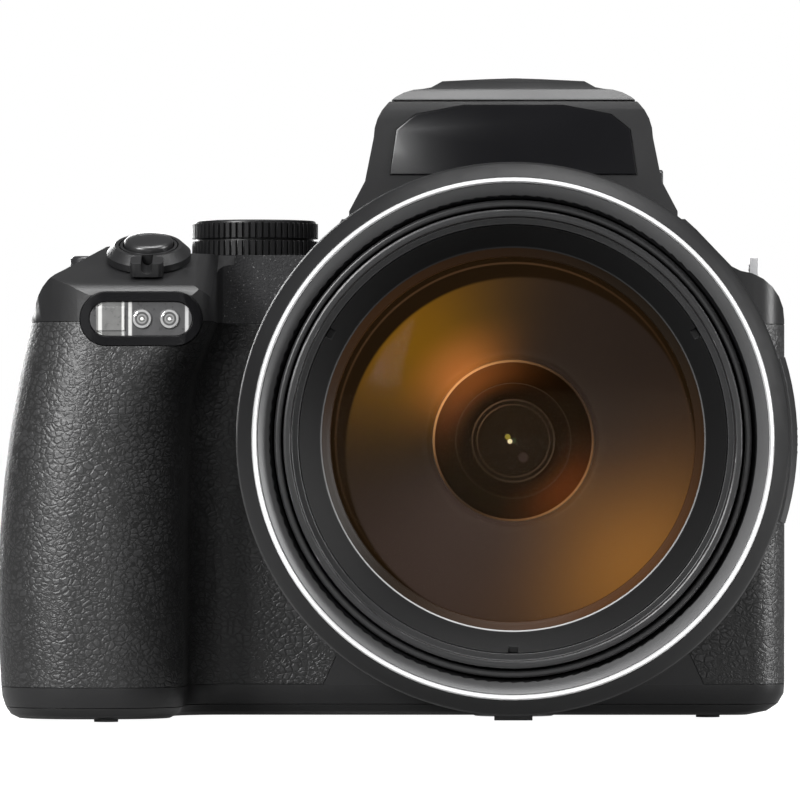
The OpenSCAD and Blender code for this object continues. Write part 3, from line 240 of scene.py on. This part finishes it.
def glowing(mat, shader, shade, reach, glow):
    """Ends a finish of painted reflections: the painted colour also glows, on finely turned rings."""
    rings = (reach * 9.0).maths("SINE") * 0.03 + 0.42
    feed(mat, shader, shade, rings, glow=shade)
    shader.inputs["Emission Strength"].default_value = glow
    shader.inputs["Specular IOR Level"].default_value = 0.1
    return mat


def cell_painted_reflections(name):
    """The lens cell behind the front glass, in glowing painted reflections of gold, orange, brown and violet.
    """
    dull, violet, olive = (0.024, 0.0175, 0.015), (0.050, 0.036, 0.033), (0.017, 0.0135, 0.0105)
    brown, gold, orange = (0.185, 0.088, 0.024), (0.17, 0.085, 0.007), (0.42, 0.15, 0.04)
    shadow, edge = (0.014, 0.008, 0.0035), (0.060, 0.034, 0.018)
    mat, start, shader, place = new_material(name)
    reach, turn = about(start, place)
    # Painted reflections: violet lower left, olive left, brown lower right, gold and orange upper left
    shade = turn.fan(-120.0, 3.0).mix(dull, violet)
    shade = turn.fan(172.0, 12.0).mix(shade, olive)
    shade = (turn.fan(-47.0, 11.0) * reach.band(14.0, 31.0, 0.35, 1.0)).mix(shade, brown)
    shade = (turn.fan(135.0, 11.0) * reach.band(14.0, 22.0, 0.7, 1.0)).mix(shade, gold)
    shade = (turn.fan(129.0, 20.0) * reach.band(14.0, 24.0, 1.0, 0.0)).mix(shade, orange)
    # Painted shadow inside the glass's rim, round a circle beside the axis
    shifted, _ = about(start, place, 1.3, -2.1)
    shade = shifted.band(30.9, 31.5).mix(shade, shadow)
    # Painted highlight: a thin line round the glass's edge, brightest near the top
    shade = (reach.line(31.7, 0.08, 0.2) * turn.fan(110.0, 2.0)).mix(shade, edge)
    return glowing(mat, shader, shade, reach, 0.75)


def bevel_painted_reflections(name):
    """The dark bevel round the front glass, with painted brown reflections on two sides, which glow."""
    mat, start, shader, place = new_material(name)
    reach, turn = about(start, place)
    # Painted reflections at the upper left and lower right
    shade = turn.fan(130.0, 5.0).mix((0.005, 0.0035, 0.002), (0.022, 0.009, 0.0025))
    shade = turn.fan(-52.0, 5.0).mix(shade, (0.032, 0.012, 0.003))
    return glowing(mat, shader, shade, reach, 0.5)


def plain_cone(name):
    """The plain ring round the glass: dull black, with a painted highlight on its lip, brightest at the bottom.
    """
    mat, start, shader, place = new_material(name)
    reach, turn = about(start, place)
    fine = start.make("TexNoise", Vector=place, Scale=4000.0, Detail=3.0)
    shade = fine.mix((0.003, 0.003, 0.003), (0.005, 0.005, 0.0052))
    # Painted highlight along the lip, strongest at the bottom
    lip = reach.line(LIP_R, 0.05, 0.14) * (turn.fan(-90.0, 2.0) * 0.88 + 0.05)
    feed(mat, shader, lip.mix(shade, (0.32, 0.32, 0.32)), fine * 0.2 + 0.42)
    shader.inputs["Specular IOR Level"].default_value = 0.16
    return mat


def inner_wall(name):
    """The deep opening of the lens cell: near black, with two warm painted reflections short of its middle,
    which glow.
    """
    mat, start, shader, place = new_material(name)
    reach, turn = about(start, place)
    black, amber, red_reflection = (0.006, 0.003, 0.001), (0.165, 0.062, 0.019), (0.080, 0.023, 0.003)
    # Painted reflections: amber at the upper left, red at the lower right
    shade = (turn.fan(128.0, 9.0) * reach.band(7.8, 13.0)).mix(black, amber)
    shade = (turn.fan(-46.0, 12.0) * reach.band(7.0, 12.5)).mix(shade, red_reflection)
    return glowing(mat, shader, shade, reach, 0.85)


def ring_glint(name, base, upper, lower):
    """A thin turned edge with painted highlights at its upper left and lower right, which glow."""
    mat, start, shader, place = new_material(name)
    reach, turn = about(start, place)
    shade = turn.fan(135.0, 7.0).mix(base, upper)
    shade = turn.fan(-48.0, 7.0).mix(shade, lower)
    return glowing(mat, shader, shade, reach, 0.9)


def lamp_face(name, middle, leds, diffuser):
    """The lamp panel: ribbed diffuser at one end, two round lamps with a bright chip, painted highlight bars
    and rings.
    """
    near, far = diffuser
    mat, start, shader, place = new_material(name)
    parts = start.make("SeparateXYZ", place).socket.node.outputs
    x = Wire(start.tree, parts[0]) / MM - middle.x / MM
    z = Wire(start.tree, parts[2]) / MM - middle.z / MM
    cloud = start.make("TexNoise", Vector=place, Scale=900.0, Detail=3.0)
    shade = cloud.mix((0.03, 0.03, 0.031), (0.055, 0.055, 0.056))
    frost = x.line((near + far) / 2, (far - near) / 2, 0.1)
    shade = frost.mix(shade, cloud.mix((0.07, 0.07, 0.068), (0.14, 0.14, 0.137)))
    # Painted highlights: bright bars on the diffuser's ribs
    for bar, half in ((near + 0.7, 0.25), (far - 0.35, 0.12), (far + 0.95, 0.22)):
        shade = x.line(bar, half, 0.2).mix(shade, (0.42, 0.42, 0.41))
    for led in leds:
        reach = ((x - led) * (x - led) + z * z).maths("POWER", 0.5)
        shade = reach.band(1.75, 1.9, 1.0, 0.0).mix(shade, (0.03, 0.03, 0.03))
        # Painted highlights: the bright rings at 1.45 and 0.75 mm in each lamp
        shade = reach.line(1.45, 0.12, 0.16).mix(shade, (0.30, 0.30, 0.30))
        shade = reach.band(0.6, 1.25, 1.0, 0.0).mix(shade, (0.09, 0.09, 0.088))
        shade = reach.line(0.75, 0.06, 0.12).mix(shade, (0.22, 0.22, 0.22))
        shade = reach.band(0.18, 0.36, 1.0, 0.0).mix(shade, (0.95, 0.95, 0.92))
    # Painted highlight: a bright line near the window's right end
    shade = x.line(8.35, 0.22, 0.2).mix(shade, (0.34, 0.34, 0.34))
    # Painted glow: the whole panel glows a little in its own colour
    feed(mat, shader, shade, cloud * 0.2 + 0.2, glow=shade)
    shader.inputs["Emission Strength"].default_value = 0.12
    return mat


LOOKS = {
    "shell": grained("shell", (0.009, 0.009, 0.0094), rough=0.38, grain=0.35, lift=0.12, specular=0.36),
    "crinkle": crinkle("crinkle"),
    "skin": leather("skin"),
    "barrel": grained("barrel", (0.010, 0.010, 0.0105), rough=0.36, grain=0.25, lift=0.08),
    "dark_rubber": grained("dark_rubber", (0.014, 0.014, 0.014), rough=0.6, grain=0.5, lift=0.2),
    "trim": grained("trim", (0.86, 0.86, 0.87), rough=0.2, grain=0.2, lift=0.03, metal=0.6),
    "gloss": grained(
        "gloss", (0.003, 0.003, 0.0035), rough=0.26, grain=0.4, lift=0.01, spread=0.03, coat=0.05, specular=0.16
    ),
    "button": grained("button", (0.013, 0.013, 0.014), rough=0.34, grain=0.25, lift=0.06),
    "button_metal": grained(
        "button_metal", (0.010, 0.010, 0.0105), rough=0.32, grain=0.2, lift=0.02, spread=0.03, coat=0.1
    ),
    "glass": clear("glass", (1.0, 0.96, 0.9), shine=0.0006, rough=0.01, rim=0.03),
    "dark_glass": grained(
        "dark_glass", (0.004, 0.004, 0.006), rough=0.06, grain=0.5, lift=0.0, spread=0.02, coat=1.0
    ),
    "window": clear("window", (0.95, 0.95, 0.95), shine=0.03, rough=0.03, rim=0.3),
    "flash_clear": clear("flash_clear", (0.9, 0.9, 0.88), shine=0.1, rough=0.12, rim=0.6),
    "cell": cell_painted_reflections("cell"),
    "steel": grained("steel", (0.55, 0.55, 0.56), rough=0.28, grain=0.2, lift=0.05, metal=1.0),
    "board": grained("board", (0.02, 0.09, 0.04), rough=0.5, grain=0.4, lift=0.1),
    "battery": grained("battery", (0.03, 0.03, 0.035), rough=0.5, grain=0.4, lift=0.1),
}
SATIN = grained(
    "satin", (0.06, 0.06, 0.061), rough=0.46, grain=0.2, lift=0.05, spread=0.05, metal=0.2, specular=0.42
)
PRINT = grained("print", (0.75, 0.75, 0.76), rough=0.5, grain=0.2, lift=0.04)
SIGNAL = grained("signal", (0.45, 0.02, 0.015), rough=0.4, grain=0.2, lift=0.04)


def add_piece(name, mesh, body, slot, nodes=(), look=None):
    """A new object with that mesh, riding on a body, in a slot's finish, standing for those CAD nodes."""
    piece = bpy.data.objects.new(name, mesh)
    bpy.context.scene.collection.objects.link(piece)
    mesh.materials.clear()
    mesh.materials.append(look or LOOKS[slot])
    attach(piece, body)
    if nodes:
        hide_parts(*nodes)
    return piece


def as_mesh(name, bm):
    """The mesh of a finished bmesh, shaded smooth but for its creased edges."""
    for face in bm.faces:
        face.smooth = True
    for edge in bm.edges:
        edge.smooth = edge.is_manifold and edge.calc_face_angle(0.0) < CREASE_ANGLE
    mesh = bpy.data.meshes.new(name)
    bm.to_mesh(mesh)
    bm.free()
    return mesh


def welded(node):
    """A bmesh of a CAD node, with doubled points welded and the faces of one plane joined."""
    bm = bmesh.new()
    bm.from_mesh(frame["nodes"][node].data)
    bmesh.ops.remove_doubles(bm, verts=bm.verts, dist=WELD)
    bmesh.ops.dissolve_limit(bm, angle_limit=FLAT_ANGLE, verts=bm.verts, edges=bm.edges)
    return bm


def dress(node, slot, width=EDGE, look=None):
    """A copy of a CAD node with its edges rounded and its curved faces shaded smooth."""
    bm = welded(node)
    for face in bm.faces:
        face.smooth = True
    mesh = bpy.data.meshes.new("v_" + node)
    bm.to_mesh(mesh)
    bm.free()
    piece = add_piece("v_" + node, mesh, frame["nodes"][node]["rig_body"], slot, [node], look)
    bevel = piece.modifiers.new("bevel", "BEVEL")
    bevel.width = width * MM
    bevel.segments = ROUND_STEPS
    bevel.limit_method = "ANGLE"
    bevel.angle_limit = ROUND_ANGLE
    bevel.use_clamp_overlap = True
    normals = piece.modifiers.new("normals", "WEIGHTED_NORMAL")
    normals.keep_sharp = True
    normals.weight = 80
    return piece


def paint(piece, look, chosen):
    """Gives another finish to the faces of a piece whose centre, in millimetres, is chosen."""
    piece.data.materials.append(look)
    last = len(piece.data.materials) - 1
    for face in piece.data.polygons:
        if chosen(*(c / MM for c in face.center)):
            face.material_index = last


def turned(name, body, slot, profile, look=None, place=None, axis=FORWARD, nodes=(), steps=160):
    """A turned piece: a profile of radius and height in millimetres, spun about an axis at a place.

    A profile that starts and ends on the axis is spun open, any other is closed first.
    """
    bm = bmesh.new()
    points = [bm.verts.new((r * MM, 0, h * MM)) for r, h in profile]
    pairs = list(zip(points, points[1:]))
    if profile[0][0] or profile[-1][0]:
        pairs.append((points[-1], points[0]))
    edges = [bm.edges.new(pair) for pair in pairs]
    bmesh.ops.spin(
        bm, geom=points + edges, cent=(0, 0, 0), axis=(0, 0, 1), angle=math.tau, steps=steps, use_merge=True
    )
    bmesh.ops.remove_doubles(bm, verts=bm.verts, dist=1e-7)
    bmesh.ops.recalc_face_normals(bm, faces=bm.faces)
    turn = Vector(axis).to_track_quat("Z", "Y").to_matrix().to_4x4()
    spot = Vector((0, 0, AXIS_Z * MM)) if place is None else Vector(place)
    bmesh.ops.transform(bm, matrix=Matrix.Translation(spot) @ turn, verts=bm.verts)
    return add_piece(name, as_mesh(name, bm), body, slot, nodes, look)


def disc(name, body, slot, r, thick, place, axis, look):
    """A thin round plate standing on a place in metres."""
    soft = min(thick * 0.5, r * 0.2)
    profile = [(0, 0), (r, 0), (r, thick - soft), (r - soft, thick), (0, thick)]
    return turned(name, body, slot, profile, look, place, axis, steps=32)


# Every CAD node in its own finish
SLOT_OF = {part["node"]: part["material_slot"] for part in frame["record"]["subparts"]}
SPECIAL = {"top_cover", "front_collar", "plain_ring", "nameplate", "lamp_window", "shutter_button"}
BLACK = (0.006, 0.006, 0.0063)
dial_black = grained("dial_black", BLACK, rough=0.34, grain=0.2, lift=0.05, specular=0.25)
for node in frame["nodes"]:
    if node not in SPECIAL:
        edge = 2 * EDGE if node == "lamp_bezel" else EDGE
        dress(node, SLOT_OF[node], edge, look=dial_black if node == "mode_dial" else None)

# Top cover: crackle paint between the grip's deck and the hump, plain elsewhere
cover = dress("top_cover", "crinkle")
paint(
    cover, LOOKS["shell"],
    lambda x, y, z: not CRACKLE_X[0] <= x <= CRACKLE_X[1] or y < CRACKLE_FRONT or z > CRACKLE_TOP,
)


def from_axis(x, z):
    """Distance from the lens axis, in millimetres."""
    return math.hypot(x, z - AXIS_Z)


# Front of the lens: collar with its satin inner band, plain ring with the bevel round the glass
matt_black = grained("matt_black", BLACK, rough=0.42, grain=0.25, lift=0.06, specular=0.24)
collar = dress("front_collar", SLOT_OF["front_collar"], 0.2, look=matt_black)
paint(collar, SATIN, lambda x, y, z: y < SATIN_Y and from_axis(x, z) < SATIN_R)
ring = dress("plain_ring", SLOT_OF["plain_ring"], 0.15, look=plain_cone("cone"))
paint(ring, bevel_painted_reflections("bevel_painted_reflections"), lambda x, y, z: from_axis(x, z) < BEVEL_R)

# Nameplate, bare, with a thin satin rim round its front
plate = welded("nameplate")
front = [face for face in plate.faces if face.normal.y < -0.9]
rim = bmesh.ops.inset_region(plate, faces=front, thickness=0.28 * MM, depth=0.12 * MM)["faces"]
for face in rim:
    face.material_index = 1
plate_piece = add_piece("v_nameplate", as_mesh("v_nameplate", plate), "body", "gloss", ["nameplate"])
plate_piece.data.materials.append(SATIN)

# Shutter button with its domed cap
press = JOINTS["zoom_turn"]
turned("v_shutter_button", "shutter_button", "button_metal", [
    (0, -2.4), (4.5, -2.4), (4.5, 3.4), (4.42, 3.7), (4.2, 3.95),
    (3.7, 4.15), (2.8, 4.35), (1.5, 4.5), (0, 4.55),
], place=press["pos_m"], axis=press["axis"], nodes=["shutter_button"], steps=64)

# Lamp panel, with domes over its two lamps
low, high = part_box("lamp_window")
lamp_middle = (low + high) / 2
lamp_x = (0.2, 5.2)
panel = lamp_face("lamp_face", lamp_middle, lamp_x, (-8.1, -2.9))
dress("lamp_window", "window", 0.1, look=panel)
for index, x in enumerate(lamp_x):
    spot = (lamp_middle.x + x * MM, low.y, lamp_middle.z)
    turned(f"lamp_dome_{index}", "body", "window", [
        (0, -0.05), (1.7, -0.05), (1.6, 0.15), (1.2, 0.32), (0.6, 0.42), (0, 0.45),
    ], place=spot, steps=32)

# Rings seen inside the moving lens cell in glowing painted reflections, and discs of painted glints
low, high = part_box("variator_lens")
depth = -high.y / MM
wall = inner_wall("inner_wall")
edge_ring = ring_glint("edge_ring", (0.030, 0.020, 0.014), (0.60, 0.34, 0.16), (0.24, 0.13, 0.06))
inner_edge = ring_glint("inner_edge", (0.024, 0.017, 0.013), (0.085, 0.055, 0.035), (0.060, 0.042, 0.032))


def cell_ring(name, r, width, d, tall, look):
    """A square-edged ring in the lens cell: outer radius, width, distance ahead and height."""
    turned(name, "variator", "cell", [(r - width, d), (r, d), (r, d + tall), (r - width, d + tall)], look)


cell_ring("cell_groove", 15.25, 0.5, depth + 3.0, 0.12, wall)
cell_ring("cell_edge", 14.45, 0.4, depth + 1.2, 0.4, edge_ring)
turned("inner_cone", "variator", "cell", [
    (14.3, depth + 1.0), (10.4, depth - 3.0), (10.4, depth - 4.0), (7.5, depth - 5.5), (7.5, depth - 6.5),
    (0.5, depth - 6.6), (0.5, depth - 8.4), (14.3, depth - 8.4),
], wall)
cell_ring("inner_ring_outer", 10.4, 0.13, depth - 3.0, 0.1, inner_edge)
cell_ring("inner_ring_middle", 7.5, 0.22, depth - 5.4, 0.1, inner_edge)
cell_ring("inner_ring_small", 6.6, 0.16, depth - 6.4, 0.1, inner_edge)
# Discs of painted glints that glow, standing for glints of the lenses behind
for name, tint, lower, r, x, z in (
    ("glint", (0.85, 0.86, 0.66), (0.9, 0.9, 0.8), 0.42, -0.6, -0.1),
    ("leaf", (0.20, 0.20, 0.03), (0.20, 0.20, 0.03), 0.5, -1.0, 0.7),
    ("plum", (0.022, 0.015, 0.017), (0.022, 0.015, 0.017), 0.9, 1.8, -3.0),
):
    spot = (x * MM, -(depth - 6.6) * MM, (AXIS_Z + z) * MM)
    disc("rear_" + name, "variator", "cell", r, 0.1, spot, FORWARD, ring_glint(name, tint, tint, lower))

# Printed marks: plain numbers on the mode dial and a red dot on the movie button
DIAL_MARKS = 8
low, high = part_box("mode_dial")
dial = (low + high) / 2
marks = bmesh.new()
for index in range(DIAL_MARKS):
    curve = bpy.data.curves.new("mark", "FONT")
    curve.body = str(index + 1)
    curve.size = 3.0 * MM
    curve.extrude = 0.03 * MM
    curve.align_x = curve.align_y = "CENTER"
    holder = bpy.data.objects.new("mark", curve)
    bpy.context.scene.collection.objects.link(holder)
    flat = bpy.data.meshes.new_from_object(holder.evaluated_get(bpy.context.evaluated_depsgraph_get()))
    turn = Matrix.Rotation(math.tau * index / DIAL_MARKS, 4, "Z") @ Matrix.Translation((0, 8.3 * MM, 0))
    flat.transform(Matrix.Translation((dial.x, dial.y, high.z + 0.02 * MM)) @ turn)
    marks.from_mesh(flat)
    bpy.data.objects.remove(holder)
    bpy.data.curves.remove(curve)
add_piece("dial_marks", as_mesh("dial_marks", marks), "mode_dial", "button", look=PRINT)
low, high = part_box("movie_button")
spot = ((low.x + high.x) / 2, high.y, (low.z + high.z) / 2)
disc("movie_dot", "movie_button", "button", 1.3, 0.06, spot, (0, 1, 0), SIGNAL)

# Camera: a long lens well in front, a little below the lens axis
camera = bpy.data.objects.new("camera", bpy.data.cameras.new("camera"))
bpy.context.scene.collection.objects.link(camera)
bpy.context.scene.camera = camera
camera.location = (0.0012, -1.565, 0.044)
camera.rotation_euler = Vector((-0.0143, 1.0, 0.0095)).to_track_quat("-Z", "Y").to_euler()
camera.data.lens = 377.4
camera.data.sensor_width = 36.0
camera.data.clip_end = 20.0


def lamp(name, place, aim, size, power):
    """A white soft box at a place, turned to an aim point, of a width and height in metres."""
    data = bpy.data.lights.new(name, "AREA")
    data.shape = "RECTANGLE"
    data.size, data.size_y = size
    data.energy = power
    thing = bpy.data.objects.new(name, data)
    bpy.context.scene.collection.objects.link(thing)
    thing.location = place
    thing.rotation_euler = (Vector(aim) - Vector(place)).to_track_quat("-Z", "Y").to_euler()


lamp("top_box", (0.05, -0.25, 0.9), (0, -0.06, 0.08), (0.8, 0.35), 13.0)
lamp("left_box", (-0.72, -0.9, 0.62), (-0.06, -0.03, 0.05), (0.4, 0.6), 26.0)
lamp("right_box", (0.9, -0.35, 0.3), (0, -0.08, 0.06), (0.2, 0.8), 15.0)
lamp("back_box", (-0.35, 0.95, 0.3), (0, 0.05, 0.06), (0.6, 0.4), 7.0)
lamp("low_box", (0.25, -1.1, 0.02), (0, -0.05, 0.05), (0.7, 0.1), 1.2)


def background(start):
    """White to the camera and through glass, and dimmer in reflections."""
    rays = start.make("LightPath").socket.node.outputs
    kinds = ("Is Camera Ray", "Is Glossy Ray", "Is Transmission Ray")
    seen, glossy, through = (Wire(start.tree, rays[kind]) for kind in kinds)
    return seen + glossy * 0.12 + through


# White ground and backdrop
floor_mesh = bpy.data.meshes.new("floor")
bm = bmesh.new()
bmesh.ops.create_grid(bm, x_segments=1, y_segments=1, size=6.0)
bm.to_mesh(floor_mesh)
bm.free()
floor = bpy.data.objects.new("floor", floor_mesh)
bpy.context.scene.collection.objects.link(floor)
floor.location = (0, 0, -0.0004)
ground, start, *_ = new_material("ground")
paper = start.make("BsdfDiffuse", (0.3, 0.3, 0.3, 1))
glow = start.make("Emission", (1, 1, 1, 1), background(start))
both = start.make("AddShader", paper, glow)
ground.node_tree.links.new(both.socket, ground.node_tree.nodes["Material Output"].inputs["Surface"])
floor_mesh.materials.append(ground)
world = bpy.data.worlds.new("world")
bpy.context.scene.world = world
world.use_nodes = True
level = background(Wire(world.node_tree)) * 0.955 + 0.045
backdrop = world.node_tree.nodes["Background"]
backdrop.inputs["Color"].default_value = (1, 1, 1, 1)
world.node_tree.links.new(level.socket, backdrop.inputs["Strength"])

bpy.context.scene.view_settings.view_transform = "Standard"
